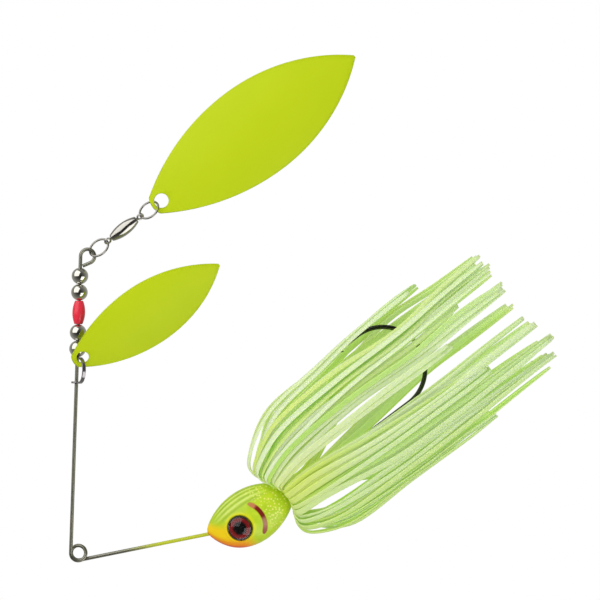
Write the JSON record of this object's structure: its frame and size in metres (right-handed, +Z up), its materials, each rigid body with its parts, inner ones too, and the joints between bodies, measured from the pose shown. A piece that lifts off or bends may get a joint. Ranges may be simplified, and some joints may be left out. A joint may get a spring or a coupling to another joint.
{
  "type": "spinnerbait",
  "caption": "Bent-wire fishing lure with a painted lead head, a single hook, a folded strand skirt, a bead stack and two willow-leaf blades that spin on a clevis and a swivel.",
  "frame": {"origin": "centre of the line-tie coil, where the line is tied", "axes": "+Z up, as the lure hangs from its line tie; +X towards the blade arm; +Y away from the viewer, square to the plane of the bent wire"},
  "size_m": [0.1064, 0.0211, 0.1326],
  "materials": {
    "stainless_wire": "drawn wire, satin",
    "head_paint": "gloss chartreuse over lead",
    "hook_steel": "black nickel, gloss",
    "eye_print": "printed red disc",
    "eye_clear": "clear dome",
    "collar_rubber": "matte",
    "skirt_silicone": "satin, translucent",
    "bead_nickel": "polished nickel",
    "red_plastic": "translucent red, gloss",
    "clevis_steel": "polished strip",
    "blade_paint": "satin chartreuse",
    "ring_steel": "polished wire",
    "swivel_nickel": "polished nickel"
  },
  "bodies": {
    "lure": {"wire_form": "stainless_wire", "head": "head_paint", "hook": "hook_steel", "near_iris": "eye_print", "far_iris": "eye_print", "near_eye_dome": "eye_clear", "far_eye_dome": "eye_clear", "skirt_collar": "collar_rubber", "skirt_strands_1": "skirt_silicone", "skirt_strands_2": "skirt_silicone", "skirt_strands_3": "skirt_silicone", "skirt_strands_4": "skirt_silicone", "skirt_strands_5": "skirt_silicone", "skirt_strands_6": "skirt_silicone", "skirt_strands_7": "skirt_silicone", "skirt_strands_8": "skirt_silicone"},
    "first_bead": {"metal_bead_1": "bead_nickel"},
    "second_bead": {"metal_bead_2": "bead_nickel"},
    "long_bead": {"red_bead": "red_plastic"},
    "third_bead": {"metal_bead_3": "bead_nickel"},
    "stop_bead": {"metal_bead_4": "bead_nickel"},
    "clevis_strap": {"clevis": "clevis_steel"},
    "small_spinner": {"small_blade": "blade_paint"},
    "upper_ring": {"arm_ring": "ring_steel"},
    "swivel_upper": {"swivel_top_eye": "swivel_nickel"},
    "swivel_body": {"swivel_barrel": "swivel_nickel"},
    "swivel_lower": {"swivel_bottom_eye": "swivel_nickel"},
    "lower_ring": {"blade_ring": "ring_steel"},
    "large_spinner": {"large_blade": "blade_paint"}
  },
  "joints": [
    {"name": "first_bead_spin", "type": "hinge", "parent": "lure", "child": "first_bead", "pos_m": [0.04786, 0, -0.03624], "axis": [0.7782, 0, -0.628], "continuous": true},
    {"name": "second_bead_spin", "type": "hinge", "parent": "lure", "child": "second_bead", "pos_m": [0.04786, 0, -0.03624], "axis": [0.7782, 0, -0.628], "continuous": true},
    {"name": "red_bead_spin", "type": "hinge", "parent": "lure", "child": "long_bead", "pos_m": [0.04786, 0, -0.03624], "axis": [0.7782, 0, -0.628], "continuous": true},
    {"name": "third_bead_spin", "type": "hinge", "parent": "lure", "child": "third_bead", "pos_m": [0.04786, 0, -0.03624], "axis": [0.7782, 0, -0.628], "continuous": true},
    {"name": "clevis_slide", "type": "slide", "parent": "lure", "child": "stop_bead", "axis": [-0.7782, 0, 0.628], "range_m": [0, 0.034]},
    {"name": "clevis_spin", "type": "hinge", "parent": "stop_bead", "child": "clevis_strap", "pos_m": [0.03696, 0, -0.02745], "axis": [0.7782, 0, -0.628], "continuous": true},
    {"name": "small_blade_swing", "type": "hinge", "parent": "clevis_strap", "child": "small_spinner", "pos_m": [0.0384, -0.0023, -0.03065], "axis": [-0.3762, -0.9256, -0.0429], "range_deg": [-70, 90]},
    {"name": "arm_ring_swing", "type": "hinge", "parent": "lure", "child": "upper_ring", "pos_m": [0.05789, 0, -0.04658], "axis": [0, 1, 0], "range_deg": [-45, 22]},
    {"name": "swivel_swing", "type": "hinge", "parent": "upper_ring", "child": "swivel_upper", "pos_m": [0.05789, 0, -0.05015], "axis": [-0.7071, 0.7071, 0], "range_deg": [-45, 45]},
    {"name": "swivel_barrel_spin", "type": "hinge", "parent": "swivel_upper", "child": "swivel_body", "pos_m": [0.05789, 0, -0.05797], "axis": [0, 0, 1], "continuous": true},
    {"name": "swivel_eye_spin", "type": "hinge", "parent": "swivel_body", "child": "swivel_lower", "pos_m": [0.05789, 0, -0.05797], "axis": [0, 0, 1], "continuous": true},
    {"name": "blade_ring_swing", "type": "hinge", "parent": "swivel_lower", "child": "lower_ring", "pos_m": [0.05789, 0, -0.06303], "axis": [0.7071, 0.7071, 0], "range_deg": [-45, 45]},
    {"name": "large_blade_swing", "type": "hinge", "parent": "lower_ring", "child": "large_spinner", "pos_m": [0.05789, 0, -0.0658], "axis": [-0.7071, 0.7071, 0], "range_deg": [-45, 45]}
  ]
}
